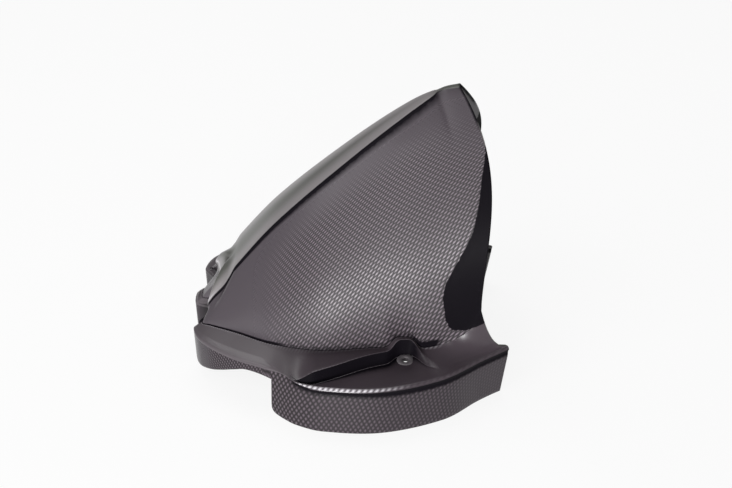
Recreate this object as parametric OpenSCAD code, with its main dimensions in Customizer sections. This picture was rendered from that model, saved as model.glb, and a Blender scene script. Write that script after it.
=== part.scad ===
// Rear hugger mudguard: one moulded shell that covers the front upper quarter of a motorcycle's rear wheel.
// X runs to the rear, Y across, Z up. The shell stands on the bottom edges of its two wings.

/* [Overall] */
// Length from the front apron to the rear corners of the wings
overall_length = 315; // [280:5:360]
// Width over the bottom edges of the two wings
overall_width = 302; // [270:2:340]
// Height from the bottom edge to the rear tip of the crest
overall_height = 291; // [250:1:330]

/* [Shell] */
// Thickness of the moulded sheet
wall = 3; // [2:0.5:4]
// How far the crest strip stands above the side panels
crest_step = 2.6; // [1:0.2:4]
// Width of the crest strip at its widest
crest_width = 56; // [40:2:70]
// How far each panel lies below the lip along its foot
foot_step = 1.2; // [0.6:0.2:2]

/* [Wings] */
// Height of the wing rim above the bottom edge
wing_height = 50; // [42:1:60]
// How much each wing spreads from its rim to its bottom edge
wall_draft = 5; // [2:0.5:9]
// Radius of the rounded rim
rim_radius = 3.4; // [3:0.2:5]
// Depth of the sunk ledge below the rim
ledge_depth = 3.4; // [2:0.2:6]
// Height of the riser between the upper ledge and the sunk ledge
riser_height = 11; // [6:0.5:14]
// Height of the arch that the sunk ledge cuts into the foot of the panel
arch_height = 10; // [6:1:14]
// Height of the shallow front part of the wall above the bottom edge
shallow_height = 38; // [30:1:40]
// Radius of the deep wall's front bottom corner
corner_radius = 7; // [3:1:12]
// How far the rear end of the wall leans forward at its bottom edge
rear_rake = 8; // [0:1:14]

/* [Fixings] */
// Diameter of the bolt hole in each wing
bolt_hole_d = 6.5; // [5.5:0.1:8.5]
// Diameter of the flat pad round the bolt hole
pad_d = 17; // [14:0.5:20]
// Height of the pad above the sunk ledge
pad_rise = 1.4; // [0.8:0.2:2.5]
// Distance of the bolt holes behind the front apron
bolt_from_front = 214; // [208:1:220]
// Distance between the two bolt holes
bolt_spacing = 198; // [192:1:206]

/* [Hidden] */

// The outlines below are drawn for these sizes and stretched to the ones above
drawn_length = 315;
drawn_height = 291;
drawn_wing_height = 50;
long = overall_length / drawn_length;
above_wing = (overall_height - wing_height) / (drawn_height - drawn_wing_height);

// Places along the rim are measured round it from the middle of the front apron
rim_end = 414;
step_at = 165;
arch_at = 299;
arch_half = 15;

// Rim of apron and wing: place, then distance back, out and up
rim_at = [0, 9, 13, 24, 30, 38, 44, 52, 75, 119, 162, 180, 196, 219, 274, 333, 380, 414];
rim_line = [[0, 0, 49], [1, 9, 48], [5, 12, 47], [17, 15, 46], [19, 21, 46], [16, 33, 46], [10, 41, 47],
    [4, 50, 48], [13, 71, 50], [47, 97, 50], [84, 115, 51], [99, 127, 53], [112, 136, 50], [135, 144, 50],
    [190, 146, 50], [247, 129, 50], [286, 104, 51], [315, 87, 53]];

// Foot of the side panel
foot_at = [0, 9, 13, 24, 30, 38, 44, 52, 75, 119, 162, 219, 274, 333, 380, 414];
foot_line = [[7, 0, 53], [8, 8, 53], [12, 10, 53], [23, 13, 54], [26, 19, 55], [23, 31, 54], [18, 39, 52],
    [12, 47, 51], [21, 54, 53], [49, 67, 54], [84, 85, 55], [132, 96, 56], [186, 93, 57], [237, 92, 57],
    [272, 89, 72], [285, 88, 98]];

// Side view of the crest up to its rear tip: distance back, height
tip_back = 262;
crest_back = [24, 36, 50, 90, 160, 215, 245, tip_back];
crest_up = [72, 93, 114, 161, 225, 269, 287, 291];

// Distance back of each section's top end, by its place round the rim
top_at = [0, 60, 119, 180, 274, 345, 385, 414];
top_back = [36, 42, 58, 92, 160, 215, 243, tip_back];

// Flared front end of the crest strip
flare_at = [0, 25, 42, 52, 62, 80];
flare_line = [[28, 0, 79], [23, 22, 75], [18, 36, 68], [25, 34, 76], [35, 31, 86], [45, 29, 101]];

// The strip runs out to nothing at its apex
leaf_from = 50;
leaf_apex = 240;
leaf_end_half = 1.5;
tip_half = 3;

// Outer edge of the upper ledge as a share of the way from foot to rim
riser_at = [150, 183, 200, 226, 258, 286, 299, 312, 332, 350];
riser_share = [0.90, 0.90, 0.74, 0.50, 0.24, 0.10, 0.07, 0.10, 0.50, 0.80];
riser_opens = [183, 199];
riser_closes = [306, 336];

// Bottom edge of the wall in front of the step
low_at = [0, 44, 50, 56, 62, 75, 90, 105, 119, 135, 165];
low_drop = [28, 14, 18, 24, 26, 24, 19, 12, 5, -1, 0];

// Places of the sections, close together at the notch, the step and the arch
step_gap = 0.4;
places = [0, 5, 9, 13, 18, 24, 30, 38, 44, 48, 52, 56, 61, 67, 75, 85, 97, 109, 121, 133, 145, 156,
    step_at - step_gap, step_at + step_gap, step_at + 2.5, step_at + 7, 181, 189, 198, 208, 219, 230,
    241, 252, 262, 271, 279, 286, 292, 298, 304, 310, 316, 323, 332, 342, 352, 362, 372, 382, 392, 403,
    rim_end];
panel_steps = 9;

function lerp(a, b, t) = a + (b - a) * t;
function ease(a, b, x) = let (t = max(0, min(1, (x - a) / (b - a)))) t * t * (3 - 2 * t);
function unit(v) = v / norm(v);

// Smooth curve through stations
function span(at, u, i = 0) = (i >= len(at) - 2 || u < at[i + 1]) ? i : span(at, u, i + 1);
function slope(at, line, i) =
    let (a = max(i - 1, 0), b = min(i + 1, len(at) - 1)) (line[b] - line[a]) / (at[b] - at[a]);
function curve(at, line, u) =
    let (i = span(at, u), h = at[i + 1] - at[i], t = (u - at[i]) / h)
    (2 * t ^ 3 - 3 * t ^ 2 + 1) * line[i] + (t ^ 3 - 2 * t ^ 2 + t) * h * slope(at, line, i)
    + (3 * t ^ 2 - 2 * t ^ 3) * line[i + 1] + (t ^ 3 - t ^ 2) * h * slope(at, line, i + 1);

// Heights are drawn from the rim, so that they follow it when it moves
wide = (overall_width / 2 - wall_draft) / max([for (u = places) curve(rim_at, rim_line, u).y]);
function placed(p) =
    let (up = p.z - drawn_wing_height) [p.x * long, p.y * wide, wing_height + up * (up > 0 ? above_wing : 1)];

function rim(u) = placed(curve(rim_at, rim_line, u));
function crest(u) = let (s = curve(top_at, top_back, u)) placed([s, 0, curve(crest_back, crest_up, s)]);

// Edge of the crest strip
function strip_half(u) =
    let (s = curve(top_at, top_back, u), left = max(0, (leaf_apex - s) / (leaf_apex - leaf_from)))
    leaf_end_half + (crest_width / 2 - leaf_end_half) * sqrt(left)
    + (tip_half - leaf_end_half) * ease(leaf_apex, tip_back, s);
function strip_edge(u) =
    let (top = crest(u), half = strip_half(u), side = [top.x, half, top.z - 0.12 * half])
    lerp(placed(curve(flare_at, flare_line, min(u, 80))), side, ease(62, 84, u));

// Edge of the panel, below the step
function panel_top(u) =
    let (s = curve(top_at, top_back, u), left = 1 - ease(leaf_apex - 22, leaf_apex + 2, s),
        out = unit([-(1 - ease(15, 45, u)), ease(5, 40, u), 0]))
    strip_edge(u) + 1.6 * out - [0, 0, crest_step * left + 0.4];

function arch(u) = exp(-((u - arch_at) / arch_half) ^ 4);
function plain_foot(u) = placed(curve(foot_at, foot_line, u));
function foot(u) = plain_foot(u) + arch(u) * [0, -5, arch_height];

// Where the panel would start if the strip ran out evenly: it keeps the panel smooth beside the strip's end
function spine(u) =
    let (top = crest(u), run = (top.x / long - leaf_from) / (tip_back - leaf_from),
        half = lerp(tip_half, crest_width / 2 - 1, 1 - run ^ 2))
    [top.x, half + 1.6, top.z - 0.12 * half - 1.5];

// Side panel from the crease at t = 0 to the foot at t = 1
function panel(u, t) =
    let (a = panel_top(u), d = plain_foot(u), ridge = lerp(a, spine(u), ease(62, 84, u)), e = d - ridge,
        k = ease(60, 330, u), bow = ease(250, rim_end, u),
        near = [e.x * lerp(0.33, 0.30, k), e.y * lerp(0.40, 0.52, k), e.z * lerp(0.30, 0.32, k)],
        far = [e.x * lerp(0.66, 0.85, k), e.y * lerp(0.80, 1.08, k), e.z * lerp(0.68, 0.52, k)],
        b = ridge + near + [38 * bow, 0, 0], c = ridge + far + [2 * bow, 0, 0],
        sunk = foot_step * [0, -1, -0.6] + arch(u) * [0, -5, arch_height])
    (1 - t) ^ 3 * a + 3 * (1 - t) ^ 2 * t * b + 3 * (1 - t) * t ^ 2 * c + t ^ 3 * d + t ^ 8 * sunk;

// Ledge lines between foot and rim
function open_at(u) = ease(riser_opens[0], riser_opens[1], u) * (1 - ease(riser_closes[0], riser_closes[1], u));
function share(u) =
    lerp(0.5, curve(riser_at, riser_share, max(150, min(350, u))), ease(150, 180, u) * (1 - ease(330, 350, u)));
function ledge(u, f) =
    let (d = foot(u), r = rim(u), fillet = ease(300, rim_end, u))
    [lerp(d.x, r.x, f), lerp(d.y, r.y, f), r.z + (d.z - r.z) * (1 - f) ^ (1 + 1.6 * fillet)];
function upper_edge(u) =
    let (p = ledge(u, share(u)), z = lerp(wing_height - ledge_depth + riser_height, foot(u).z, arch(u)))
    [p.x, p.y, lerp(p.z, z, open_at(u))];
function lower_edge(u) =
    let (p = upper_edge(u), away = rim(u) - foot(u),
        reach = min(lerp(5.5, 1.5, arch(u)), 0.5 * norm(rim(u) - p)),
        plain = ledge(u, lerp(share(u), 1, 0.35)), sunk = p + reach * unit([away.x, away.y, 0]))
    lerp(plain, [sunk.x, sunk.y, wing_height - ledge_depth], open_at(u));

// Wall below the rim
function rim_out(u) =
    let (a = rim(max(0, u - 0.5)), b = rim(min(rim_end, u + 0.5))) unit([a.y - b.y, b.x - a.x, 0]);
function low_z(u) = wing_height - drawn_wing_height + shallow_height - curve(low_at, low_drop, min(u, step_at));
function round_z(u) =
    let (q = max(0, corner_radius - (u - step_at))) corner_radius - sqrt(max(0, corner_radius ^ 2 - q ^ 2));
function bottom(u) =
    let (r = rim(u), z = u > step_at ? round_z(u) : low_z(u), down = (r.z - z) / wing_height,
        spread = wall_draft * ease(60, 200, u) * down, rake = rear_rake * ease(330, rim_end, u) * down)
    [r.x + spread * rim_out(u).x - rake, r.y + spread * rim_out(u).y, z];

// Rounded rim: angle 0 on the ledge, 90 on the wall
function rim_round(u, angle) =
    let (r = rim(u), width = norm(r - lower_edge(u)), size = min(rim_radius, 0.45 * width),
        back = -rim_out(u) * size * (1 - sin(angle)), z = -size * (1 - cos(angle)))
    r + back + [0, 0, z];

// One section from crest to bottom edge, as [distance back, out, up]
function section(u) =
    let (top = crest(u), edge = strip_edge(u), low = bottom(u), under = rim_round(u, 90))
    concat(
        [for (t = [0, 1 / 3, 2 / 3, 1])
            [lerp(top.x, edge.x, t), lerp(top.y, edge.y, t), lerp(top.z, edge.z, t ^ 2)]],
        [for (k = [0 : panel_steps]) panel(u, k / panel_steps)],
        [foot(u), lerp(foot(u), upper_edge(u), 0.5), upper_edge(u), lower_edge(u)],
        [lerp(lower_edge(u), rim_round(u, 0), 0.5)],
        [for (angle = [0, 45, 90]) rim_round(u, angle)],
        [for (t = [0.33, 0.67, 1]) lerp(under, low, t)]
    );

outer = [for (u = places) [for (p = section(u)) [p.x - overall_length / 2, -p.y, p.z]]];
columns = len(places);
rows = len(outer[0]);
foot_row = 4 + panel_steps + 1;
wall_row = rows - 4;

// Inner skin: each point moves in by one wall, square to the faces above and below it
function outer_at(i, j) =
    i < 0 ? [outer[-i][j].x, -outer[-i][j].y, outer[-i][j].z]
    : j < 0 ? [outer[i][-j].x, -outer[i][-j].y, outer[i][-j].z]
    : outer[min(i, columns - 1)][min(j, rows - 1)];
function along(i, j) = outer_at(i + 1, j) - outer_at(i == 0 && j == 0 ? 0 : i - 1, j);
function face_normal(i, j, k) = unit(cross(outer_at(i, k) - outer_at(i, j), along(i, j)));
function inward(i, j) =
    let (a = j < rows - 1 ? face_normal(i, j, j + 1) : -face_normal(i, j, j - 1),
        b = j > 0 ? -face_normal(i, j, j - 1) : [a.x, -a.y, a.z])
    -(a + b) / max(0.7, 1 + a * b);
function inner_free(i, j) =
    let (p = outer[i][j] + wall * inward(i, j))
    [p.x, (i == 0 || j == 0) ? 0 : p.y, j == rows - 1 ? outer[i][j].z : p.z];

// In front of the sunk ledge the inside runs straight from below the foot to one corner below the rim,
// with a small slip from row to row so that no two rows fall together
ledge_from = 190;
ledge_free = 212;
row_slip = 0.12;
function set_in(i, p) = let (q = p - wall * rim_out(places[i])) [q.x - overall_length / 2, -q.y, q.z - wall];
function inner_plain(i, j) =
    set_in(i, j <= foot_row ? foot(places[i]) : rim(places[i])) + [0, 0, row_slip * (wall_row - j)];
function inner_at(i, j) =
    (j < foot_row - 1 || j > wall_row) ? inner_free(i, j)
    : lerp(inner_plain(i, j), inner_free(i, j), ease(ledge_from, ledge_free, places[i]));
inner = [for (i = [0 : columns - 1]) [for (j = [0 : rows - 1]) inner_at(i, j)]];

// Both halves share the points on the middle plane
half_count = columns * rows;
function index(skin, side, i, j) =
    (2 * skin + ((i == 0 || j == 0) ? 0 : side)) * half_count + i * rows + j;
function mirrored(points) = [for (p = points) [p.x, -p.y, p.z]];
function flat(lists) = [for (list = lists) for (p = list) p];
function two(a, b, c, d) = [[a, b, c], [a, c, d]];
function turned(side, faces) = side == 0 ? faces : [for (f = faces) [f[2], f[1], f[0]]];

function skin_faces(skin, side) = flat([for (i = [0 : columns - 2], j = [0 : rows - 2])
    turned(side == skin ? 0 : 1, two(index(skin, side, i, j), index(skin, side, i + 1, j),
        index(skin, side, i + 1, j + 1), index(skin, side, i, j + 1)))]);
function bottom_faces(side) = flat([for (i = [0 : columns - 2])
    turned(side, two(index(0, side, i, rows - 1), index(0, side, i + 1, rows - 1),
        index(1, side, i + 1, rows - 1), index(1, side, i, rows - 1)))]);
function rear_faces(side) = flat([for (j = [0 : rows - 2])
    turned(side, two(index(0, side, columns - 1, j + 1), index(0, side, columns - 1, j),
        index(1, side, columns - 1, j), index(1, side, columns - 1, j + 1)))]);

module shell() {
    points = concat(flat(outer), mirrored(flat(outer)), flat(inner), mirrored(flat(inner)));
    faces = concat(skin_faces(0, 0), skin_faces(0, 1), skin_faces(1, 0), skin_faces(1, 1),
        bottom_faces(0), bottom_faces(1), rear_faces(0), rear_faces(1));
    polyhedron(points = points, faces = faces, convexity = 12);
}

// Fixing pads with their bolt holes
pad_under = 0.6;
ledge_z = wing_height - ledge_depth;
pad_top = ledge_z + pad_rise;
pad_bottom = ledge_z - wall - pad_under;
module at_fixings() {
    for (side = [-1, 1])
        translate([bolt_from_front * long - overall_length / 2, side * bolt_spacing / 2, 0])
            children();
}

module mudguard() {
    color("#4a444a")
        difference() {
            union() {
                shell();
                at_fixings()
                    translate([0, 0, pad_bottom])
                        cylinder(d = pad_d, h = pad_top - pad_bottom, $fn = 48);
            }
            at_fixings()
                translate([0, 0, pad_bottom - 1])
                    cylinder(d = bolt_hole_d, h = pad_top - pad_bottom + 2, $fn = 48);
        }
}

mudguard();
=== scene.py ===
"""Looks of a rear hugger mudguard.

The moulded shell as one fine mesh, its finishes, a plain studio and the camera.
"""
import math
from functools import partial

import bmesh
import bpy
import numpy as np
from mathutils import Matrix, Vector

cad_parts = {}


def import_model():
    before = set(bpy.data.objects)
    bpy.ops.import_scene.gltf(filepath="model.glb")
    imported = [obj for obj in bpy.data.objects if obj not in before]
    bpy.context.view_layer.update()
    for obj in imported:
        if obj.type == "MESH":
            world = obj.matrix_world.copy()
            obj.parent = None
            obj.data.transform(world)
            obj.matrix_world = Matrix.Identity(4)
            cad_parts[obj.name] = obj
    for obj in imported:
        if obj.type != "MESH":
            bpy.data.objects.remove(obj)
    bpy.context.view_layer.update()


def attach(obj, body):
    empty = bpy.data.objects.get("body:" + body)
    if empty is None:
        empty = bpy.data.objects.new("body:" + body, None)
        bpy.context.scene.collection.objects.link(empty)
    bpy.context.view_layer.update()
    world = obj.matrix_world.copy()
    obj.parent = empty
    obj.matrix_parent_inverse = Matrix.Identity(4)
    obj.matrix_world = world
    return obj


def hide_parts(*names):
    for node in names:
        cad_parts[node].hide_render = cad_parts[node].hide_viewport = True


# Lengths are in millimetres up to to_frame(). A point is (back from the apron, out from the middle plane,
# up). The section curves are counted by u, from 0 in the middle of the front apron to RIM_END at the trailing
# edge. A pair such as RISER_OPENS says where a soft change starts and where it is complete, in u unless its
# name says otherwise.

# Sizes of the shell
OVERALL_LENGTH = 315.0
OVERALL_WIDTH = 302.0
WALL = 3.0
CREST_STEP = 2.6
CREST_STEP_LEFT = 0.4
CREST_WIDTH = 56.0
CREST_FALL = 0.12
FOOT_STEP = 1.2
WING_HEIGHT = 50.0
WALL_DRAFT = 5.0
RIM_RADIUS = 3.4
LEDGE_DEPTH = 3.4
RISER_HEIGHT = 11.0
ARCH_HEIGHT = 10.0
ARCH_INWARD = 5.0
SHALLOW_HEIGHT = 38.0
CORNER_RADIUS = 7.0
REAR_RAKE = 8.0

RIM_END = 414.0
STEP_AT = 165.0
ARCH_AT = 304.0
ARCH_HALF = 15.0

# Stations of the rim and of the panel's foot
RIM_AT = [0, 9, 13, 24, 30, 38, 44, 52, 75, 119, 162, 180, 196, 219, 274, 333, 380, 414]
RIM_LINE = [(0, 0, 49), (1, 9, 48), (5, 12, 47), (17, 15, 46), (19, 21, 46), (16, 33, 46),
            (10, 41, 47), (4, 50, 48), (13, 71, 50), (47, 97, 50), (84, 115, 51), (99, 127, 53),
            (112, 136, 50), (135, 144, 50), (190, 146, 50), (247, 129, 50), (286, 104, 51), (315, 87, 53)]
RIM_SAMPLES = 800
FOOT_AT = [0, 9, 13, 24, 30, 38, 44, 52, 75, 119, 162, 219, 274, 333, 380, 414]
FOOT_LINE = [(7, 0, 53), (8, 8, 53), (12, 10, 53), (23, 13, 54), (26, 19, 55), (23, 31, 54),
             (18, 39, 52), (12, 47, 51), (21, 54, 53), (49, 67, 54), (84, 85, 55), (132, 96, 56),
             (186, 93, 57), (237, 92, 57), (272, 89, 72), (285, 88, 98)]
FOOT_SINK = FOOT_STEP * np.array([0, -1, -0.6])
ARCH_LIFT = np.array([0, -ARCH_INWARD, ARCH_HEIGHT])

# Crest strip: its profile, where each section starts on it, and the flares at its front end
CREST_BACK = [24, 36, 50, 90, 160, 215, 245, 262]
CREST_UP = [72, 93, 114, 161, 225, 269, 287, 291]
TOP_AT = [0, 60, 119, 180, 274, 345, 385, 414]
TOP_BACK = [36, 42, 58, 92, 160, 215, 243, 262]
FLARE_AT = [0, 25, 42, 52, 62, 80]
FLARE_LINE = [(28, 0, 79), (23, 22, 75), (18, 36, 68), (25, 34, 76), (35, 31, 86), (45, 29, 101)]
FLARE_ENDS = (62, 84)
LEAF_FROM = 50.0
LEAF_APEX = 240.0
LEAF_END_HALF = 1.5
TIP_HALF = 3.0

# Side panel: how it starts beside the strip, and the two middle control points of its curve. Each of those
# has its shares of the way from the ridge to the foot, at the front and at the rear, and how far it bows
# back at the end
PANEL_GAP = 1.6
STEP_ENDS_BACK = (LEAF_APEX - 22, LEAF_APEX + 2)
FACES_FRONT = (15, 45)
FACES_SIDE = (5, 40)
SPINE_NARROWER = 1
SPINE_LOWER = 1.5
UPPER_HANDLE = ((0.33, 0.40, 0.30), (0.30, 0.52, 0.32), 38)
LOWER_HANDLE = ((0.66, 0.80, 0.68), (0.85, 1.08, 0.52), 2)
HANDLES_MOVE = (60, 330)
BOW_FROM = 250
BOW_POWER = 1.6
SINK_POWER = 8

# Sunk ledge: its riser's upper edge lies at a share of the way from the panel's foot to the rim
RISER_AT = [150, 190, 202, 226, 258, 290, 304, 317, 334, 350]
RISER_SHARE = [0.97, 0.97, 0.82, 0.54, 0.25, 0.10, 0.07, 0.10, 0.50, 0.80]
RISER_OPENS = (188, 214)
RISER_CLOSES = (306, 336)
SHARE_COMES = (150, 180)
SHARE_GOES = (330, 350)
PLAIN_SHARE = 0.5
LOWER_SHARE = 0.35
RISER_REACH = 5.5
ARCH_REACH = 1.5
REACH_MOST = 0.5
FILLET_FROM = 300
FILLET_POWER = 1.6

# Wall, and the most that a rounding may take of the way to the next point
LOW_AT = [0, 44, 50, 56, 62, 75, 90, 105, 119, 135, 165]
LOW_DROP = [28, 14, 18, 24, 26, 24, 19, 12, 5, -1, 0]
DRAFT_GROWS = (60, 200)
RAKE_FROM = 330
RIM_STEP = 0.5
ROUND_MOST = 0.45


def lerp(a, b, t):
    """Value at the share t of the way from a to b."""
    return a + (b - a) * t


def ease(a, b, x):
    """Soft change from 0 at a to 1 at b."""
    t = np.clip((x - a) / (b - a), 0, 1)
    return t * t * (3 - 2 * t)


def unit(v):
    """Directions of length 1."""
    return v / np.maximum(np.linalg.norm(v, axis=-1, keepdims=True), 1e-9)


def curve(at, line, u):
    """Smooth curve through stations."""
    at = np.asarray(at, float)
    line = np.asarray(line, float)
    u = np.asarray(u, float)
    low = np.maximum(np.arange(len(at)) - 1, 0)
    high = np.minimum(np.arange(len(at)) + 1, len(at) - 1)
    width = at[high] - at[low]
    slopes = (line[high] - line[low]) / (width[:, None] if line.ndim > 1 else width)
    i = np.clip(np.searchsorted(at, u, side="right") - 1, 0, len(at) - 2)
    h = at[i + 1] - at[i]
    t = (u - at[i]) / h
    if line.ndim > 1:
        h = h[..., None]
        t = t[..., None]
    return ((2 * t ** 3 - 3 * t ** 2 + 1) * line[i] + (t ** 3 - 2 * t ** 2 + t) * h * slopes[i]
            + (3 * t ** 2 - 2 * t ** 3) * line[i + 1] + (t ** 3 - t ** 2) * h * slopes[i + 1])


RIM_WIDEST = curve(RIM_AT, RIM_LINE, np.linspace(0, RIM_END, RIM_SAMPLES))[:, 1].max()
WIDE = (OVERALL_WIDTH / 2 - WALL_DRAFT) / RIM_WIDEST


def placed(p):
    """Points of a line of stations, widened to the overall width."""
    return p * np.array([1.0, WIDE, 1.0])


def vec(x, y, z):
    """Points from their three coordinates."""
    return np.stack(np.broadcast_arrays(x, y, z), axis=-1).astype(float)


def rim(u):
    """Top of the wing's rim."""
    return placed(curve(RIM_AT, RIM_LINE, u))


def crest(u):
    """Middle line of the crest strip."""
    s = curve(TOP_AT, TOP_BACK, u)
    return vec(s, 0.0, curve(CREST_BACK, CREST_UP, s))


def strip_half(u):
    """Half width of the crest strip, which runs out towards the tip."""
    s = curve(TOP_AT, TOP_BACK, u)
    left = np.maximum(0, (LEAF_APEX - s) / (LEAF_APEX - LEAF_FROM))
    return (LEAF_END_HALF + (CREST_WIDTH / 2 - LEAF_END_HALF) * np.sqrt(left)
            + (TIP_HALF - LEAF_END_HALF) * ease(LEAF_APEX, TOP_BACK[-1], s))


def strip_edge(u):
    """Edge of the crest strip, which ends in a flare at the front."""
    top = crest(u)
    half = strip_half(u)
    side = vec(top[..., 0], half, top[..., 2] - CREST_FALL * half)
    flare = placed(curve(FLARE_AT, FLARE_LINE, np.minimum(u, FLARE_AT[-1])))
    return lerp(flare, side, ease(*FLARE_ENDS, u)[..., None])


def panel_top(u):
    """Where the panel starts, below the strip's edge."""
    s = curve(TOP_AT, TOP_BACK, u)
    left = 1 - ease(*STEP_ENDS_BACK, s)
    out = unit(vec(-(1 - ease(*FACES_FRONT, u)), ease(*FACES_SIDE, u), 0.0))
    return strip_edge(u) + PANEL_GAP * out - vec(0.0, 0.0, CREST_STEP * left + CREST_STEP_LEFT)


def arch(u):
    """How far the ledge is arched up over the bolt pad, from 0 to 1."""
    return np.exp(-((u - ARCH_AT) / ARCH_HALF) ** 4)


def plain_foot(u):
    """Foot of the panel without the arch."""
    return placed(curve(FOOT_AT, FOOT_LINE, u))


def foot(u):
    """Foot of the panel."""
    return plain_foot(u) + arch(u)[..., None] * ARCH_LIFT


def spine(u):
    """Where the panel would start if the strip ran out evenly."""
    top = crest(u)
    run = (top[..., 0] - LEAF_FROM) / (TOP_BACK[-1] - LEAF_FROM)
    half = lerp(TIP_HALF, CREST_WIDTH / 2 - SPINE_NARROWER, 1 - run ** 2)
    return vec(top[..., 0], half + PANEL_GAP, top[..., 2] - CREST_FALL * half - SPINE_LOWER)


def handle(u, ridge, run, front, rear, bow):
    """A middle control point of the panel's curve, at its shares of the run from the ridge to the foot."""
    shares = lerp(np.array(front), np.array(rear), ease(*HANDLES_MOVE, u)[..., None])
    bowed = (np.maximum(0, u - BOW_FROM) / (RIM_END - BOW_FROM)) ** BOW_POWER
    return ridge + (run * shares + bowed[..., None] * np.array([bow, 0, 0]))


def panel(u, t):
    """Points of the panel at the share t of its curve, from its top to its foot."""
    top = panel_top(u)
    low = plain_foot(u)
    ridge = lerp(top, spine(u), ease(*FLARE_ENDS, u)[..., None])
    upper = handle(u, ridge, low - ridge, *UPPER_HANDLE)
    lower = handle(u, ridge, low - ridge, *LOWER_HANDLE)
    sunk = FOOT_SINK + arch(u)[..., None] * ARCH_LIFT
    return ((1 - t) ** 3 * top + 3 * (1 - t) ** 2 * t * upper + 3 * (1 - t) * t ** 2 * lower
            + t ** 3 * low + t ** SINK_POWER * sunk)


def open_at(u):
    """How far the ledge is sunk below the rim, from 0 to 1."""
    return ease(*RISER_OPENS, u) * (1 - ease(*RISER_CLOSES, u))


def share(u):
    """Place of the riser's upper edge between the panel's foot and the rim."""
    there = curve(RISER_AT, RISER_SHARE, np.clip(u, RISER_AT[0], RISER_AT[-1]))
    return lerp(PLAIN_SHARE, there, ease(*SHARE_COMES, u) * (1 - ease(*SHARE_GOES, u)))


def ledge(u, f):
    """Points of the plain ledge at the share f of the way from the panel's foot to the rim."""
    d, r = foot(u), rim(u)
    power = 1 + FILLET_POWER * ease(FILLET_FROM, RIM_END, u)
    return vec(lerp(d[..., 0], r[..., 0], f), lerp(d[..., 1], r[..., 1], f),
               r[..., 2] + (d[..., 2] - r[..., 2]) * (1 - f) ** power)


def upper_edge(u):
    """Upper edge of the riser."""
    p = ledge(u, share(u))
    z = lerp(WING_HEIGHT - LEDGE_DEPTH + RISER_HEIGHT, foot(u)[..., 2], arch(u))
    return vec(p[..., 0], p[..., 1], lerp(p[..., 2], z, open_at(u)))


def lower_edge(u):
    """Lower edge of the riser, where the sunk shelf starts."""
    p = upper_edge(u)
    away = rim(u) - foot(u)
    reach = lerp(RISER_REACH, ARCH_REACH, arch(u))
    reach = np.minimum(reach, REACH_MOST * np.linalg.norm(rim(u) - p, axis=-1))
    plain = ledge(u, lerp(share(u), 1, LOWER_SHARE))
    sunk = p + reach[..., None] * unit(vec(away[..., 0], away[..., 1], 0.0))
    sunk[..., 2] = WING_HEIGHT - LEDGE_DEPTH
    return lerp(plain, sunk, open_at(u)[..., None])


def rim_out(u):
    """Level direction straight out from the rim."""
    a = rim(np.maximum(0, u - RIM_STEP))
    b = rim(np.minimum(RIM_END, u + RIM_STEP))
    return unit(vec(a[..., 1] - b[..., 1], b[..., 0] - a[..., 0], 0.0))


def bottom(u):
    """Bottom edge of the wall: shallow in front, then a rounded corner and the deep rear part."""
    r = rim(u)
    low = SHALLOW_HEIGHT - curve(LOW_AT, LOW_DROP, np.minimum(u, STEP_AT))
    q = np.maximum(0, CORNER_RADIUS - (u - STEP_AT))
    deep = CORNER_RADIUS - np.sqrt(np.maximum(0, CORNER_RADIUS ** 2 - q ** 2))
    z = np.where(u > STEP_AT, deep, low)
    down = (r[..., 2] - z) / WING_HEIGHT
    spread = WALL_DRAFT * ease(*DRAFT_GROWS, u) * down
    rake = REAR_RAKE * ease(RAKE_FROM, RIM_END, u) * down
    out = rim_out(u)
    return vec(r[..., 0] + spread * out[..., 0] - rake, r[..., 1] + spread * out[..., 1], z)


def rim_round(u, angle):
    """Points of the rim's round, from its inner side at angle 0 to its outer side at a quarter turn."""
    r = rim(u)
    width = np.linalg.norm(r - lower_edge(u), axis=-1)
    size = np.minimum(RIM_RADIUS, ROUND_MOST * width)[..., None]
    return r - rim_out(u) * size * (1 - np.sin(angle)) - size * (1 - np.cos(angle)) * np.array([0, 0, 1.0])


# Rows of the fine mesh, from the crest's middle down to the wall's bottom edge
CREST_ROWS = 8
PANEL_ROWS = 32
RISER_ROWS = 6
SHELF_ROWS = 9
ROUND_ROWS = 7
WALL_ROWS = 10
WALL_FROM = 0.15
FOOT_CLOSE = 0.35

# Its columns: first u, last u and their count, and those after the wall's front bottom corner
COLUMN_RUNS = [(0, 60, 40), (60, 140, 34), (140, STEP_AT - 0.3, 12),
               (174, 225, 36), (225, 345, 56), (345, RIM_END, 38)]
CORNER_COLUMNS = [0.3, 0.8, 1.6, 2.6, 3.8, 5.2, 7.0]

# Rounded corners: radius and count of points
CREST_CORNER = (1.3, 5)
PANEL_CORNER = (0.8, 4)
FOOT_CORNER = (0.5, 3)
RISER_CORNER = (1.2, 4)
SHELF_CORNER = (0.9, 4)

# The sheet's own edges, and the reach in metres within which the halves are joined
EDGE_ROUND = 0.8
EDGE_STEPS = 2
SHARP_ANGLE = math.radians(50)
WELD_REACH = 0.00002

# The panel is evened out before the trailing edge, but not along its top and its foot
EVEN_FROM = 336.0
EVEN_BELOW_SHARE = (0.02, 0.2)
EVEN_ABOVE_SHARE = (0.7, 0.95)

# Where the painted shade in the creases and the painted highlights on the edges start, end and grow fainter
LIP_ENDS = (338, 352)
FOOT_STARTS = (44, 50)
FOOT_PALER = 0.6
FOOT_PALES = (160, 185)
FOOT_DARKENS = (305, 325)
BEAD_ENDS = (40, 58)
CREASE_STARTS = (38, 50)
CREASE_PALER = 0.75
CREASE_PALES = (375, 392)
SHELF_OPENS = (190, 198)
GROOVE_STARTS = (180, 198)
SHINE_STARTS = (192, 199)
SHINE_PALER = 0.97
SHINE_PALES = (255, 308)
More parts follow.
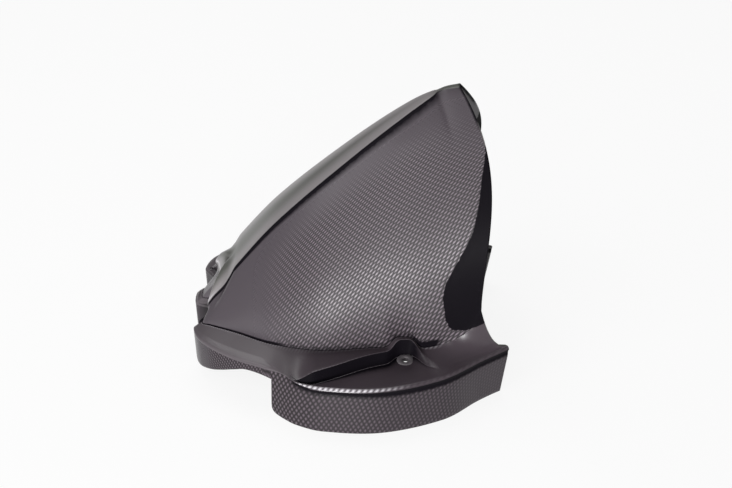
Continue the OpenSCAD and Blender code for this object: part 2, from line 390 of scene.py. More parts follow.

# Painted shade of the rows, as shares of their crease's, where a negative share is a painted highlight, and
# painted highlight of the rim's rows, as shares of its shine
PANEL_CORNER_LINE = (1.0, 1.0, 1.0, 0.8)
LIP_LINE = (1.0, -0.5, -0.3)
RISER_CORNER_LINE = (0.0, -0.15, 0.9, 1.0)
SHELF_CORNER_LINE = (1.0, 1.0, -0.35, 0.9)
SHELF_LINE = (0.9, 0.2)
RIM_HIGHLIGHT = (0.0, 0.3, 0.8, 1.0, 0.6)
RIM_GROOVE = (0.3, 1.0)

# Strip of painted shade at the riser's foot, and the groove below the rim with painted shade in it.
# Its rows: share of its width, depth, painted shade
SHELF_DARK = 2.6
GROOVE_DEPTH = 0.7
GROOVE_WIDTH = 4.2
GROOVE_WIDENS = (200, 340)
GROOVE_NARROW = 0.6
GROOVE_WIDE = 1.3
GROOVE_MOST = 0.12
GROOVE_ROWS = [(0.25, 0.8, 1.0), (0.6, 1.0, 1.0), (1.0, 0.3, 0.7)]

# Inner faces beside the tip have the ledge's finish, and the tip's end is dark
TIP_FROM = 394.0
TIP_OVER = 232.0
TIP_DARK = 0.9
TIP_DARKENS = (410.5, 413)
TIP_DARKENS_UP = (255, 268)

# Bolt pads, and the room that the sheet makes for them
BOLT_BACK = 214.0
BOLT_OUT = 99.0
HOLE_RADIUS = 3.25
HOLE_CHAMFER = 0.4
PAD_RADIUS = 8.5
PAD_CHAMFER = 0.5
PAD_RISE = 1.4
PAD_BELOW = 0.6
PAD_TOP = WING_HEIGHT - LEDGE_DEPTH + PAD_RISE
PAD_BOTTOM = WING_HEIGHT - LEDGE_DEPTH - WALL - PAD_BELOW
PAD_SIDES = 64
PAD_ROOM = 5.6
PAD_ROOM_UP = 2

# Front boundary of the bare dark zone along the trailing edge: height, distance back
ZONE_UP = [60, 76, 87, 99, 112, 125, 138, 152, 164, 178, 202, 224, 245, 262, 290]
ZONE_BACK = [264, 257, 252, 250, 248, 249, 254, 261, 267, 273, 278, 281, 284, 284, 290]
# Its lower boundary: distance back, height
ZONE_LOW_BACK = [240, 258, 272, 290]
ZONE_LOW_UP = [76, 76, 75, 84]
ZONE_SINK = 0.3
ZONE_EDGE = 0.8
ZONE_SINKS_OUT = (45, 60)
OUTSIDE_ZONE = -50.0


def corner(before, at, after, radius, count):
    """Points of a rounded corner."""
    left, right = before - at, after - at
    reach_left = np.minimum(radius, ROUND_MOST * np.linalg.norm(left, axis=-1))[..., None]
    reach_right = np.minimum(radius, ROUND_MOST * np.linalg.norm(right, axis=-1))[..., None]
    p, q = at + unit(left) * reach_left, at + unit(right) * reach_right
    return [(1 - t) ** 2 * p + 2 * (1 - t) * t * at + t ** 2 * q for t in np.linspace(0, 1, count)]


def zone_inside(p):
    """Distance inside the dark zone's boundary, negative outside."""
    back = p[..., 0] - curve(ZONE_UP, ZONE_BACK, np.clip(p[..., 2], ZONE_UP[0], ZONE_UP[-1]))
    up = p[..., 2] - np.interp(p[..., 0], ZONE_LOW_BACK, ZONE_LOW_UP)
    return np.minimum(back, up)


def evened(u, points, amount):
    """Points of one row, evened out over the columns before the trailing edge."""
    first = np.searchsorted(u, EVEN_FROM)
    run = u[-1] - u[first]
    slope = (points[first] - points[first - 2]) / (u[first] - u[first - 2]) * run
    step = points[-1] - points[first]
    last_slope = (3 * step - slope) / 2
    t = np.maximum(0, (u - u[first]) / run)[:, None]
    even = (points[first] + slope * (t ** 3 - 2 * t ** 2 + t) + step * (3 * t ** 2 - 2 * t ** 3)
            + last_slope * (t ** 3 - t ** 2))
    return lerp(points, even, amount * (t > 0))


class Section:
    """Rows of points over all columns, the finish below each, and the painted shade (positive) and painted
    highlight (negative) of each point.
    """

    def __init__(self, u):
        self.u = u
        self.rows = []
        self.finishes = []
        self.lines = []

    def add(self, points, finish, line=0.0):
        """Adds rows, with one painted light value for all or a list of one each: 1 is painted shade and -1 a
        painted highlight.
        """
        values = line if isinstance(line, list) else [line] * len(points)
        for point, value in zip(points, values):
            self.rows.append(point)
            self.finishes.append(finish)
            self.lines.append(value * np.ones(len(self.u)))


def panel_rows(u):
    """Rows of the panel from its top to its foot, where it passes into the lip."""
    rows = []
    for t in np.linspace(0, 1, PANEL_ROWS):
        amount = ease(*EVEN_BELOW_SHARE, t) * (1 - ease(*EVEN_ABOVE_SHARE, t))
        rows.append(evened(u, panel(u, t), amount))
    lip = 1 - ease(*LIP_ENDS, u)
    rows[-1] = lerp(foot(u), rows[-1], lip[:, None])
    return rows


def riser_rows(u):
    """Rows from the panel's foot to the upper edge of the riser."""
    upper, sunk = upper_edge(u), open_at(u)[:, None]
    rows = []
    for k in range(RISER_ROWS + 1):
        straight = lerp(foot(u), upper, k / RISER_ROWS)
        bowed = ledge(u, share(u) * k / RISER_ROWS)
        rows.append(lerp(bowed, straight, sunk))
    return rows


def foot_painted_shade(u):
    """How strong the painted shade in the crease along the panel's foot is."""
    there = ease(*FOOT_STARTS, u) * (1 - ease(*LIP_ENDS, u))
    return there * (1 - FOOT_PALER * ease(*FOOT_PALES, u) * (1 - ease(*FOOT_DARKENS, u)))


def shelf_painted_shade(u):
    """How strong the painted shade in the crease at the riser's foot is."""
    return ease(*SHELF_OPENS, u) * (1 - ease(*RISER_CLOSES, u))


def shares_of(amount, shares):
    """The amount times each of the shares."""
    return [part * amount for part in shares]


def add_crest(section, panel_line):
    """Crest strip and the step down to the panel, with a painted highlight along the strip's front edge and
    painted shade in the step's crease.
    """
    u = section.u
    top, edge, start = crest(u), strip_edge(u), panel_top(u)
    strip_line = []
    for k in range(CREST_ROWS + 1):
        level = lerp(top, edge, k / CREST_ROWS) * np.array([1, 1, 0])
        height = lerp(top[:, 2], edge[:, 2], (k / CREST_ROWS) ** 2)
        strip_line.append(level + height[:, None] * np.array([0, 0, 1.0]))
    bead_highlight = -(1 - ease(*BEAD_ENDS, u))
    crease_shade = ease(*CREASE_STARTS, u) * (1 - CREASE_PALER * ease(*CREASE_PALES, u))
    section.add(strip_line[:-1], "crest")
    section.add(corner(strip_line[-2], edge, start, *CREST_CORNER), "crest",
                [bead_highlight, bead_highlight, lerp(bead_highlight, 1, 0.5 * crease_shade), crease_shade, crease_shade])
    section.add(corner(edge, start, panel_line[1], *PANEL_CORNER), "panel",
                shares_of(crease_shade, PANEL_CORNER_LINE))


def add_panel(section, panel_line):
    """Side panel down to its foot, with painted shade in the crease at its foot."""
    dark = foot_painted_shade(section.u)
    close = lerp(panel_line[-2], panel_line[-1], FOOT_CLOSE)
    section.add(panel_line[1:-2], "panel")
    section.add([panel_line[-2], close], "panel", [0.0, dark])
    section.add(corner(close, panel_line[-1], foot(section.u), *FOOT_CORNER), "panel", dark)


def add_riser(section, panel_end, riser_line):
    """Lip at the panel's foot, with painted shade and a painted highlight, and the riser down to the sunk
    shelf, with painted shade at its foot.
    """
    dark = foot_painted_shade(section.u)
    crease_shade = shelf_painted_shade(section.u)
    section.add(corner(panel_end, riser_line[0], riser_line[1], *FOOT_CORNER), "plain",
                shares_of(dark, LIP_LINE))
    section.add(riser_line[1:-1], "plain")
    section.add(corner(riser_line[-2], riser_line[-1], lower_edge(section.u), *RISER_CORNER), "plain",
                shares_of(crease_shade, RISER_CORNER_LINE))


def add_shelf(section, riser_end):
    """Sunk shelf out to the rim, with painted shade and a painted light line at the riser's foot."""
    lower, rim_start = lower_edge(section.u), rim_round(section.u, 0.0)
    crease_shade = shelf_painted_shade(section.u)
    shelf = [lerp(lower, rim_start, k / SHELF_ROWS) for k in range(SHELF_ROWS + 1)]
    section.add(corner(riser_end, shelf[0], shelf[1], *SHELF_CORNER), "plain",
                shares_of(crease_shade, SHELF_CORNER_LINE))
    even_step = np.linalg.norm(rim_start - lower, axis=-1) / SHELF_ROWS
    step = lerp(even_step, np.minimum(SHELF_DARK, even_step), crease_shade)
    shelf[1] = lower + step[:, None] * unit(rim_start - lower)
    dark_rows = len(SHELF_LINE)
    section.add(shelf[1:dark_rows + 1], "plain", shares_of(crease_shade, SHELF_LINE))
    section.add(shelf[dark_rows + 1:-1], "plain")


def add_rim(section):
    """Rounded rim with its painted beaded highlight, and painted shade where it turns down into the groove.
    """
    u = section.u
    groove = ease(*GROOVE_STARTS, u)
    rim_highlight = -ease(*SHINE_STARTS, u) * (1 - SHINE_PALER * ease(*SHINE_PALES, u))
    section.add([rim_round(u, angle) for angle in np.linspace(0, math.pi / 2, ROUND_ROWS)], "plain",
                shares_of(rim_highlight, RIM_HIGHLIGHT) + shares_of(groove, RIM_GROOVE))


def add_wall(section):
    """Groove below the rim, with painted shade in it, and the wall down to its bottom edge."""
    u = section.u
    under, low = rim_round(u, math.pi / 2), bottom(u)
    groove = ease(*GROOVE_STARTS, u)
    inward = GROOVE_DEPTH * groove[:, None] * -rim_out(u)
    width = GROOVE_WIDTH * lerp(GROOVE_NARROW, GROOVE_WIDE, ease(*GROOVE_WIDENS, u))
    width = np.minimum(width, GROOVE_MOST * np.linalg.norm(low - under, axis=-1))
    down = unit(low - under)
    for along, depth, dark in GROOVE_ROWS:
        section.add([under + down * width[:, None] * along + inward * depth], "wall", dark * groove)
    section.add([lerp(under, low, t) for t in np.linspace(WALL_FROM, 1, WALL_ROWS)], "wall")


def fine_section(u):
    """Points of all columns and rows, the finish below each row, and the painted shade and highlight of each
    point.
    """
    section = Section(u)
    panel_line, riser_line = panel_rows(u), riser_rows(u)
    add_crest(section, panel_line)
    add_panel(section, panel_line)
    add_riser(section, panel_line[-1], riser_line)
    add_shelf(section, riser_line[-1])
    add_rim(section)
    add_wall(section)
    return np.stack(section.rows, axis=1), section.finishes, np.stack(section.lines, axis=1)


def columns():
    """The values of u at which the fine mesh has a column."""
    parts = [np.linspace(*run) for run in COLUMN_RUNS]
    parts.append(STEP_AT + np.array(CORNER_COLUMNS))
    return np.unique(np.concatenate(parts).round(3))


def normals(grid):
    """Outward normals of a grid of points: rows run down, columns run back."""
    down = np.gradient(grid, axis=1)
    back = np.gradient(grid, axis=0)
    return unit(np.cross(back, down))


def build_half():
    """Columns, outer grid, inner grid, finish names and the looks of each point, for one half."""
    u = columns()
    outer, names, line = fine_section(u)
    inside = zone_inside(outer)
    # The tip's end is darkened through the same values as the painted shade
    tip_dark = TIP_DARK * (ease(*TIP_DARKENS, u)[:, None] * ease(*TIP_DARKENS_UP, outer[..., 2]))
    line = np.where(tip_dark > 0, np.maximum(line, tip_dark), line)
    n = normals(outer)
    n[:, 0] = unit(n[:, 0] * np.array([1, 0, 1.0]))
    sink = ZONE_SINK * ease(-ZONE_EDGE, ZONE_EDGE, inside)[..., None]
    sinks = np.array([name in ("panel", "plain") for name in names])[None, :, None]
    away = ease(*ZONE_SINKS_OUT, outer[..., 1])[..., None]
    outer = outer - n * sink * sinks * away
    inner = outer - WALL * n
    inner[:, 0, 1] = 0
    inner[:, -1, 2] = outer[:, -1, 2]
    inner[0, :, 1] = 0
    looks = {"zone": inside, "line": line, "weave_and_grade": weave_and_grade_amounts(u, outer, names)}
    return u, outer, inner, names, looks


# Where the cloth look comes and goes on the panel and on the wall, which loses a share of it at each of
# three places; then where the crest strip's painted highlight fades to its dark colour, and where the ledge
# grows darker towards the rear
CLOTH_BELOW_TOP = (5, 40)
CLOTH_BACK = (64, 112)
CLOTH_FADES_UP = (225, 275)
CLOTH_FADE = 0.8
WALL_CLOTH_STARTS = (78, 98)
WALL_FADES = [(0.2, 180, 230), (0.2, 255, 300), (0.3, 330, 375)]
CREST_HIGHLIGHT_FADES_OFF_EDGE = (5, 24)
CREST_HIGHLIGHT_FADES = (368, 390)
LEDGE_DARKENS = (165, 215)


def weave_and_grade_amounts(u, outer, names):
    """How clearly the weave shows, from 0 to 1; on the crest strip, how far its painted highlight has faded;
    on the ledges, how dark they are.
    """
    over_all = np.ones(outer.shape[:2])
    from_top = np.linalg.norm(outer - panel_top(u)[:, None], axis=-1)
    faded = 1 - CLOTH_FADE * ease(*CLOTH_FADES_UP, outer[..., 2])
    panel_amount = ease(*CLOTH_BELOW_TOP, from_top) * ease(*CLOTH_BACK, outer[..., 0]) * faded
    wall_fade = sum(lost * ease(first, last, u) for lost, first, last in WALL_FADES)
    wall_amount = (ease(*WALL_CLOTH_STARTS, u) * (1 - wall_fade))[:, None] * over_all
    from_edge = np.linalg.norm(outer - strip_edge(u)[:, None], axis=-1)
    plain_amount = ease(*LEDGE_DARKENS, u)[:, None] * over_all
    crest_highlight_faded = np.maximum(ease(*CREST_HIGHLIGHT_FADES_OFF_EDGE, from_edge), ease(*CREST_HIGHLIGHT_FADES, u)[:, None])
    amounts = {"wall": wall_amount, "crest": crest_highlight_faded, "panel": panel_amount, "plain": plain_amount}
    return np.stack([amounts[name][:, k] for k, name in enumerate(names)], axis=1)


def to_frame(p, side):
    """Millimetres in a half's own terms to metres in the part's frame."""
    return np.stack([p[..., 0] - OVERALL_LENGTH / 2, side * p[..., 1], p[..., 2]], axis=-1) / 1000


# Weave: rows of dots run in two directions. Their count grows by these amounts from the middle of a surface
# to its end, first evenly along each direction, then with the product of each two. It is finer in the
# wing's front lobe
PANEL_MID = (199, 71, 150)
PANEL_HALF = (89, 29, 86)
PANEL_DOTS = [(24.6, 8.0, -3.1, -1.8, 0.4, 1.5, -2.5, 0.0, 2.7),
              (16.6, 12.3, -13.4, 1.3, 1.2, -2.2, -2.7, 0.3, 3.4)]
WALL_MID = (246, -24)
WALL_HALF = (56, 19)
WALL_DOTS = [(11.3, 3.2, -0.8, 0.6, -0.1), (12.1, -1.7, 0.8, 0.6, -0.2)]
LOBE_FINER = 0.45
LOBE_ENDS = (STEP_AT - 12.0, STEP_AT)


def dot_rows(at, middle, half, amounts):
    """Counts of dot rows at points of a surface."""
    n = (at - np.array(middle)) / np.array(half)
    size = n.shape[-1]
    terms = [n[..., k] for k in range(size)]
    terms += [n[..., a] * n[..., b] for a in range(size) for b in range(a, size)]
    return np.stack([sum(c * term for c, term in zip(row, terms)) for row in amounts], axis=-1)


def cloth_uv(u, outer, names):
    """Counts of dot rows at each point: the wall's from the rim's round on, the panel's above it."""
    along = u - LOBE_FINER * np.maximum(0, STEP_AT - u)
    finer = 1 + LOBE_FINER * (1 - ease(*LOBE_ENDS, u))
    around = np.stack([along[:, None] + 0 * outer[..., 2], -outer[..., 2] * finer[:, None]], axis=-1)
    is_wall = np.arange(len(names)) >= names.index("wall") - ROUND_ROWS
    return np.where(is_wall[None, :, None], dot_rows(around, WALL_MID, WALL_HALF, WALL_DOTS),
                    dot_rows(outer, PANEL_MID, PANEL_HALF, PANEL_DOTS))


def grid_faces(count, rows, offset, flip):
    """Faces of a grid of points that starts at an offset in the list of points."""
    i, j = np.meshgrid(np.arange(count - 1), np.arange(rows - 1), indexing="ij")
    a = offset + i * rows + j
    quads = np.stack([a, a + rows, a + rows + 1, a + 1], axis=-1).reshape(-1, 4)
    return quads[:, ::-1] if flip else quads


def edge_faces(count, rows, out_at, in_at):
    """Faces between the outer and the inner skin, along the bottom edge and along the trailing edge."""
    low = np.arange(count - 1) * rows + rows - 1
    rear = (count - 1) * rows + np.arange(rows - 1)
    return [np.stack([out_at + low, out_at + low + rows, in_at + low + rows, in_at + low], axis=-1),
            np.stack([out_at + rear + 1, out_at + rear, in_at + rear, in_at + rear + 1], axis=-1)]


def pad_ring(side):
    """Points and faces of one bolt pad with its through hole."""
    profile = [(HOLE_RADIUS, PAD_BOTTOM), (PAD_RADIUS, PAD_BOTTOM), (PAD_RADIUS, PAD_TOP - PAD_CHAMFER),
               (PAD_RADIUS - PAD_CHAMFER, PAD_TOP), (HOLE_RADIUS + HOLE_CHAMFER, PAD_TOP),
               (HOLE_RADIUS, PAD_TOP - HOLE_CHAMFER)]
    angle = np.linspace(0, 2 * math.pi, PAD_SIDES, endpoint=False)
    points = [vec(BOLT_BACK + r * np.cos(angle), BOLT_OUT + r * np.sin(angle), z) for r, z in profile]
    around = np.arange(PAD_SIDES)
    after = (around + 1) % PAD_SIDES
    faces = []
    for k in range(len(profile)):
        this, following = k * PAD_SIDES, (k + 1) % len(profile) * PAD_SIDES
        faces.append(np.stack([this + around, this + after, following + after, following + around], axis=-1))
    return to_frame(np.concatenate(points), side), np.concatenate(faces)


def at_bolt(points):
    """Whether each point lies in the middle of a bolt pad, where the sheet makes room for the pad's hole."""
    back = points[:, 0] * 1000 + OVERALL_LENGTH / 2
    out = np.abs(points[:, 1]) * 1000
    up = points[:, 2] * 1000
    level = (up > PAD_BOTTOM - PAD_ROOM_UP) & (up < PAD_TOP + PAD_ROOM_UP)
    return (np.hypot(back - BOLT_BACK, out - BOLT_OUT) < PAD_ROOM) & level


def sheet_parts(u, outer, inner, names, slot_of):
    """Points, faces and material slots of both halves of the sheet, with room made for the bolt pads."""
    count, rows = outer.shape[:2]
    row_slot = np.array([slot_of[name] for name in names[:-1]])
    own = np.tile(row_slot, (count - 1, 1)).ravel()
    at_tip = (u[:-1, None] > TIP_FROM) & (inner[:-1, :-1, 2] > TIP_OVER)
    behind = np.where(at_tip, slot_of["plain"], slot_of["inside"]).ravel()
    points, faces, slots = [], [], []
    offset = 0
    for side in (-1, 1):
        out_at, in_at = offset, offset + count * rows
        points += [to_frame(outer, side).reshape(-1, 3), to_frame(inner, side).reshape(-1, 3)]
        faces.append(grid_faces(count, rows, out_at, side == 1))
        faces.append(grid_faces(count, rows, in_at, side == -1))
        slots += [own, behind]
        for strip in edge_faces(count, rows, out_at, in_at):
            faces.append(strip[:, ::-1] if side == 1 else strip)
            slots.append(np.full(len(strip), slot_of["edge"]))
        offset += 2 * count * rows
    points, faces, slots = np.concatenate(points), np.concatenate(faces), np.concatenate(slots)
    kept = ~at_bolt(points[faces].mean(axis=1))
    return points, faces[kept], slots[kept]


def make_mesh(name, points, faces, uv, looks):
    """A mesh with its counts of dot rows as UVs and its looks as attributes of the points."""
    mesh = bpy.data.meshes.new(name)
    mesh.from_pydata(points.tolist(), [], faces.tolist())
    layer = mesh.uv_layers.new(name="cloth")
    loops = np.zeros(len(mesh.loops), dtype=np.int32)
    mesh.loops.foreach_get("vertex_index", loops)
    layer.data.foreach_set("uv", uv[loops].ravel())
    for look, values in looks.items():
        attribute = mesh.attributes.new(look, "FLOAT", "POINT")
        attribute.data.foreach_set("value", values.astype(np.float32))
    return mesh


def build_shell(finishes):
    """The whole shell with its finishes, in the part's frame."""
    u, outer, inner, names, looks = build_half()
    slot_of = {name: k for k, name in enumerate(finishes)}
    points, faces, slots = sheet_parts(u, outer, inner, names, slot_of)
    uv = np.tile(cloth_uv(u, outer, names).reshape(-1, 2), (4, 1))
    looks = {name: np.tile(values.ravel(), 4) for name, values in looks.items()}
    for side in (-1, 1):
        ring_points, ring_faces = pad_ring(side)
        faces = np.concatenate([faces, ring_faces + len(points)])
        slots = np.concatenate([slots, np.full(len(ring_faces), slot_of["pad"])])
        points = np.concatenate([points, ring_points])
        uv = np.concatenate([uv, np.zeros((len(ring_points), 2))])
        for name in looks:
            bare = OUTSIDE_ZONE if name == "zone" else 0.0
            looks[name] = np.concatenate([looks[name], np.full(len(ring_points), bare)])
    mesh = make_mesh("hugger_shell", points, faces, uv, looks)
    for finish in finishes.values():
        mesh.materials.append(finish)
    mesh.polygons.foreach_set("material_index", slots.astype(np.int32))
    mesh.update()
    shell = bpy.data.objects.new("hugger_shell", mesh)
    bpy.context.scene.collection.objects.link(shell)
    weld(shell, slot_of["edge"])
    return shell


def weld(piece, edge_slot):
    """Joins the halves, rounds the sheet's edges and shades it smooth with sharp creases."""
    bm = bmesh.new()
    bm.from_mesh(piece.data)
    bmesh.ops.remove_doubles(bm, verts=bm.verts, dist=WELD_REACH)
    bmesh.ops.recalc_face_normals(bm, faces=bm.faces)
    sheet_edges = [e for e in bm.edges if len(e.link_faces) == 2
                   and sum(f.material_index == edge_slot for f in e.link_faces) == 1]
    bmesh.ops.bevel(bm, geom=sheet_edges, offset=EDGE_ROUND / 1000, segments=EDGE_STEPS,
                    affect="EDGES", profile=0.5)
    for face in bm.faces:
        face.smooth = True
    for edge in bm.edges:
        if len(edge.link_faces) == 2 and edge.calc_face_angle(0) > SHARP_ANGLE:
            edge.smooth = False
    bm.to_mesh(piece.data)
    bm.free()


# Colours of the finishes
# Painted highlight on the rim, the lip, the beads and the light lines
PAINTED_HIGHLIGHT_COLOUR = (0.68, 0.65, 0.69)
# Near-black of the bare zone, and also the painted shade in creases and grooves
BARE_AND_PAINTED_SHADE_COLOUR = (0.005, 0.004, 0.006)
SMOOTH_GREY = (0.067, 0.057, 0.066)
YARN_DARK = (0.009, 0.006, 0.008)
YARN_LIGHT = (0.215, 0.178, 0.207)
WALL_YARN_LIGHT = (0.118, 0.094, 0.112)
WALL_SMOOTH = (0.034, 0.027, 0.033)
# The crest strip's light colour is a painted highlight along its crease, fading to its dark colour
CREST_PAINTED_HIGHLIGHT = (0.22, 0.205, 0.21)
CREST_DARK = (0.085, 0.086, 0.078)
LEDGE_LIGHT = (0.09, 0.078, 0.086)
LEDGE_DARK = (0.050, 0.039, 0.047)
EDGE_COLOUR = (0.085, 0.072, 0.082)
INSIDE_COLOUR = (0.06, 0.055, 0.06)
PAD_COLOUR = (0.15, 0.135, 0.145)

# Their roughness, that of the weave from its dots to the gaps between them, and their specular level
CROWN_ROUGH = 0.27
GAP_ROUGH = 0.6
BARE_ROUGH = 0.5
CREST_ROUGH = 0.3
LEDGE_ROUGH = 0.28
EDGE_ROUGH = 0.35
INSIDE_ROUGH = 0.6
PAD_ROUGH = 0.5
BARE_SPECULAR = 0.04
PANEL_SPECULAR = 0.5
WALL_SPECULAR = 0.3
GLOSS_SPECULAR = 0.35

# Height of the dots in metres, scales of the grain, and how the lines of painted shade and highlight and the
# zone's boundary vary with it
YARN_RISE = 0.00012
LINE_GRAIN = 260
PLAIN_GRAIN = 90
GRAIN_DETAIL = 3
PLAIN_SHADE = 0.85
DARK_BASE = 0.8
DARK_GRAIN = 0.9
BEAD_GAP = 0.12
ZONE_WANDER = 2.4
ZONE_SHARPNESS = 1.6


def new_material(name):
    """A material with its nodes, links and main shader."""
    material = bpy.data.materials.new(name)
    material.use_nodes = True
    nodes, links = material.node_tree.nodes, material.node_tree.links
    return material, nodes, links, nodes["Principled BSDF"]


def feed(links, socket, value):
    """Sets a socket to a number or a colour, or links it to another socket."""
    if isinstance(value, (int, float)):
        socket.default_value = value
    elif isinstance(value, tuple):
        socket.default_value = (*value, 1)
    else:
        links.new(value, socket)


def math_node(nodes, links, kind, a, b=None, clamp=False):
    """Result of a math node on one or two values."""
    node = nodes.new("ShaderNodeMath")
    node.operation = kind
    node.use_clamp = clamp
    feed(links, node.inputs[0], a)
    if b is not None:
        feed(links, node.inputs[1], b)
    return node.outputs[0]


def mix_colour(nodes, links, amount, first, second):
    """Colour that passes from the first to the second as the amount goes from 0 to 1."""
    node = nodes.new("ShaderNodeMix")
    node.data_type = "RGBA"
    for socket, value in ((node.inputs[0], amount), (node.inputs[6], first), (node.inputs[7], second)):
        feed(links, socket, value)
    return node.outputs[2]


def mix_shader(nodes, links, amount, first, second):
    """Leads a mix of two shaders to the material's output."""
    mix = nodes.new("ShaderNodeMixShader")
    links.new(amount, mix.inputs[0])
    links.new(first.outputs[0], mix.inputs[1])
    links.new(second.outputs[0], mix.inputs[2])
    links.new(mix.outputs[0], nodes["Material Output"].inputs["Surface"])


def dot_waves(nodes, links):
    """For both directions of the weave, 1 on a row of dots and 0 half way between two."""
    m = partial(math_node, nodes, links)
    uv = nodes.new("ShaderNodeUVMap")
    uv.uv_map = "cloth"
    split = nodes.new("ShaderNodeSeparateXYZ")
    links.new(uv.outputs[0], split.inputs[0])
    waves = []
    for count in split.outputs[:2]:
        turn = m("COSINE", m("MULTIPLY", count, 2 * math.pi))
        waves.append(m("ADD", m("MULTIPLY", turn, 0.5), 0.5))
    return waves


def read_look(nodes, name):
    """Value of one of the mesh's looks."""
    node = nodes.new("ShaderNodeAttribute")
    node.attribute_name = name
    return node.outputs["Fac"]


def grain(nodes, links, scale):
    """Uneven value around 0.5, fixed to the part."""
    noise = nodes.new("ShaderNodeTexNoise")
    place = nodes.new("ShaderNodeTexCoord")
    links.new(place.outputs["Object"], noise.inputs["Vector"])
    noise.inputs["Scale"].default_value = scale
    noise.inputs["Detail"].default_value = GRAIN_DETAIL
    return noise.outputs["Fac"]


def finish_lines(nodes, links, shader, colour, rough):
    """Adds the painted shade in the creases, the painted highlights on the edges and the bare near-black zone
    to a finish.
    """
    m = partial(math_node, nodes, links)
    uneven = grain(nodes, links, LINE_GRAIN)
    line = read_look(nodes, "line")
    # Painted shade, made jagged by the grain, and painted highlight, beaded along the rows of dots
    strength = m("ADD", DARK_BASE, m("MULTIPLY", uneven, DARK_GRAIN))
    dark = m("MULTIPLY", line, strength, clamp=True)
    beads = m("ADD", BEAD_GAP, m("MULTIPLY", dot_waves(nodes, links)[0], 1 - BEAD_GAP))
    painted_highlight = m("MULTIPLY", m("MULTIPLY", line, -1.0, clamp=True), beads)
    feed(links, shader.inputs["Base Color"], mix_colour(nodes, links, painted_highlight, colour, PAINTED_HIGHLIGHT_COLOUR))
    feed(links, shader.inputs["Roughness"], rough)

    wander = m("MULTIPLY", m("SUBTRACT", uneven, 0.5), ZONE_WANDER)
    inside = m("ADD", read_look(nodes, "zone"), wander)
    inside = m("ADD", m("MULTIPLY", inside, ZONE_SHARPNESS), 0.5, clamp=True)
    # The painted shade also takes the bare zone's dull near-black shader, so that it stays dark in
    # reflections
    inside = m("MAXIMUM", inside, dark)
    bare = nodes.new("ShaderNodeBsdfPrincipled")
    feed(links, bare.inputs["Base Color"], BARE_AND_PAINTED_SHADE_COLOUR)
    bare.inputs["Roughness"].default_value = BARE_ROUGH
    bare.inputs["Specular IOR Level"].default_value = BARE_SPECULAR
    mix_shader(nodes, links, inside, shader, bare)


def cloth_material(name, smooth, dark, light, specular):
    """Woven finish that passes into a smooth one where the cloth look is 0."""
    material, nodes, links, shader = new_material(name)
    m = partial(math_node, nodes, links)
    height = m("MULTIPLY", *dot_waves(nodes, links))
    amount = read_look(nodes, "weave_and_grade")
    colour = mix_colour(nodes, links, amount, smooth, mix_colour(nodes, links, height, dark, light))
    covered = m("MULTIPLY", m("SUBTRACT", 1.0, height), amount)
    rough = m("ADD", CROWN_ROUGH, m("MULTIPLY", covered, GAP_ROUGH - CROWN_ROUGH))
    shader.inputs["Specular IOR Level"].default_value = specular
    finish_lines(nodes, links, shader, colour, rough)
    bump = nodes.new("ShaderNodeBump")
    bump.inputs["Distance"].default_value = YARN_RISE
    links.new(m("MULTIPLY", height, amount), bump.inputs["Height"])
    links.new(bump.outputs[0], shader.inputs["Normal"])
    return material


def plain_material(name, colour, rough):
    """Smooth finish of one colour, a little uneven."""
    material, nodes, links, shader = new_material(name)
    shade = tuple(PLAIN_SHADE * c for c in colour)
    mottled = mix_colour(nodes, links, grain(nodes, links, PLAIN_GRAIN), shade, colour)
    finish_lines(nodes, links, shader, mottled, rough)
    return material


def graded_material(name, light, dark, rough):
    """Smooth finish that passes from a light to a dark colour."""
    material, nodes, links, shader = new_material(name)
    colour = mix_colour(nodes, links, read_look(nodes, "weave_and_grade"), light, dark)
    shader.inputs["Specular IOR Level"].default_value = GLOSS_SPECULAR
    finish_lines(nodes, links, shader, colour, rough)
    return material


def make_finishes():
    """All finishes of the shell, by the names that its rows use."""
    return {
        # The crest strip's grade from light to dark is a painted highlight
        "crest": graded_material("gloss_crest", CREST_PAINTED_HIGHLIGHT, CREST_DARK, CREST_ROUGH),
        "panel": cloth_material("woven_panel", SMOOTH_GREY, YARN_DARK, YARN_LIGHT, PANEL_SPECULAR),
        "plain": graded_material("gloss_plain", LEDGE_LIGHT, LEDGE_DARK, LEDGE_ROUGH),
        "wall": cloth_material("woven_wall", WALL_SMOOTH, YARN_DARK, WALL_YARN_LIGHT, WALL_SPECULAR),
        "edge": plain_material("sheet_edge", EDGE_COLOUR, EDGE_ROUGH),
        "inside": plain_material("inner_face", INSIDE_COLOUR, INSIDE_ROUGH),
        "pad": plain_material("bolt_pad", PAD_COLOUR, PAD_ROUGH),
    }


# Studio, in metres: the camera's aim and lens, the floor, and the lamps as name, place, size and watts
TARGET = (0.0185, 0.0, 0.1142)
CAMERA_AWAY = 1.1
CAMERA_UP = math.radians(35)
LENS = 54.1
SENSOR = 36
CLIP_START = 0.05
CLIP_END = 60
FLOOR_SIZE = 12
FLOOR_WHITE = 0.9
FLOOR_GLOW = 0.88
FLOOR_ROUGH = 0.9
FLOOR_SPECULAR = 0.1
WORLD_LIGHT = 0.22
WORLD_SEEN = 1.0
LAMPS = [("key", (-1.2, -1.0, 1.7), (1.2, 1.2), 15),
         ("belly", (-0.26, -1.3, 0.12), (0.34, 0.26), 17),
         ("top", (-0.2, 0.7, 1.9), (1.6, 0.8), 16)]


def aim(thing):
    """Turns a lamp or the camera to the target."""
    direction = Vector(TARGET) - thing.location
    thing.rotation_euler = direction.to_track_quat("-Z", "Y").to_euler()


def add_camera():
    """Camera at the photograph's viewing angle."""
    data = bpy.data.cameras.new("camera")
    data.lens = LENS
    data.sensor_width = SENSOR
    data.clip_start = CLIP_START
    data.clip_end = CLIP_END
    camera = bpy.data.objects.new("camera", data)
    camera.location = (TARGET[0], TARGET[1] - CAMERA_AWAY * math.cos(CAMERA_UP),
                       TARGET[2] + CAMERA_AWAY * math.sin(CAMERA_UP))
    bpy.context.scene.collection.objects.link(camera)
    aim(camera)
    bpy.context.scene.camera = camera


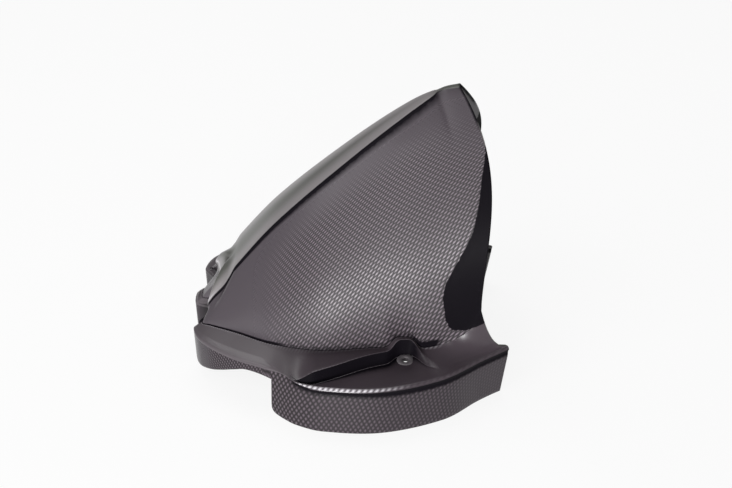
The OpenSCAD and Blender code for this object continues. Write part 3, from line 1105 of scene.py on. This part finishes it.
def add_lamp(name, place, size, watts):
    """Soft rectangular lamp."""
    data = bpy.data.lights.new(name, "AREA")
    data.shape = "RECTANGLE"
    data.size, data.size_y = size
    data.energy = watts
    lamp = bpy.data.objects.new(name, data)
    lamp.location = place
    bpy.context.scene.collection.objects.link(lamp)
    aim(lamp)


def add_world():
    """World that is white to the camera and lights the part faintly."""
    world = bpy.data.worlds.new("studio")
    bpy.context.scene.world = world
    world.use_nodes = True
    nodes, links = world.node_tree.nodes, world.node_tree.links
    background = nodes["Background"]
    path = nodes.new("ShaderNodeLightPath")
    strength = nodes.new("ShaderNodeMix")
    strength.data_type = "FLOAT"
    links.new(path.outputs["Is Camera Ray"], strength.inputs[0])
    strength.inputs[2].default_value = WORLD_LIGHT
    strength.inputs[3].default_value = WORLD_SEEN
    background.inputs["Color"].default_value = (1, 1, 1, 1)
    links.new(strength.outputs[0], background.inputs["Strength"])


def add_floor():
    """White floor that glows to the camera and in reflections, and keeps the part's shadow."""
    mesh = bpy.data.meshes.new("floor")
    h = FLOOR_SIZE / 2
    mesh.from_pydata([(-h, -h, 0), (h, -h, 0), (h, h, 0), (-h, h, 0)], [], [(0, 1, 2, 3)])
    floor = bpy.data.objects.new("floor", mesh)
    bpy.context.scene.collection.objects.link(floor)
    material, nodes, links, shader = new_material("floor_white")
    m = partial(math_node, nodes, links)
    feed(links, shader.inputs["Base Color"], (FLOOR_WHITE, FLOOR_WHITE, FLOOR_WHITE))
    shader.inputs["Roughness"].default_value = FLOOR_ROUGH
    shader.inputs["Specular IOR Level"].default_value = FLOOR_SPECULAR
    white = nodes.new("ShaderNodeEmission")
    path = nodes.new("ShaderNodeLightPath")
    reflected = m("MAXIMUM", path.outputs["Is Glossy Ray"], path.outputs["Is Transmission Ray"])
    seen = m("MAXIMUM", path.outputs["Is Camera Ray"], reflected)
    mix_shader(nodes, links, m("MULTIPLY", seen, FLOOR_GLOW), shader, white)
    mesh.materials.append(material)


def main():
    """Builds the scene round the frame."""
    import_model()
    add_camera()
    shell = build_shell(make_finishes())
    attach(shell, "root")
    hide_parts("mudguard")
    add_world()
    add_floor()
    for lamp in LAMPS:
        add_lamp(*lamp)
    bpy.context.scene.view_settings.view_transform = "Standard"


main()
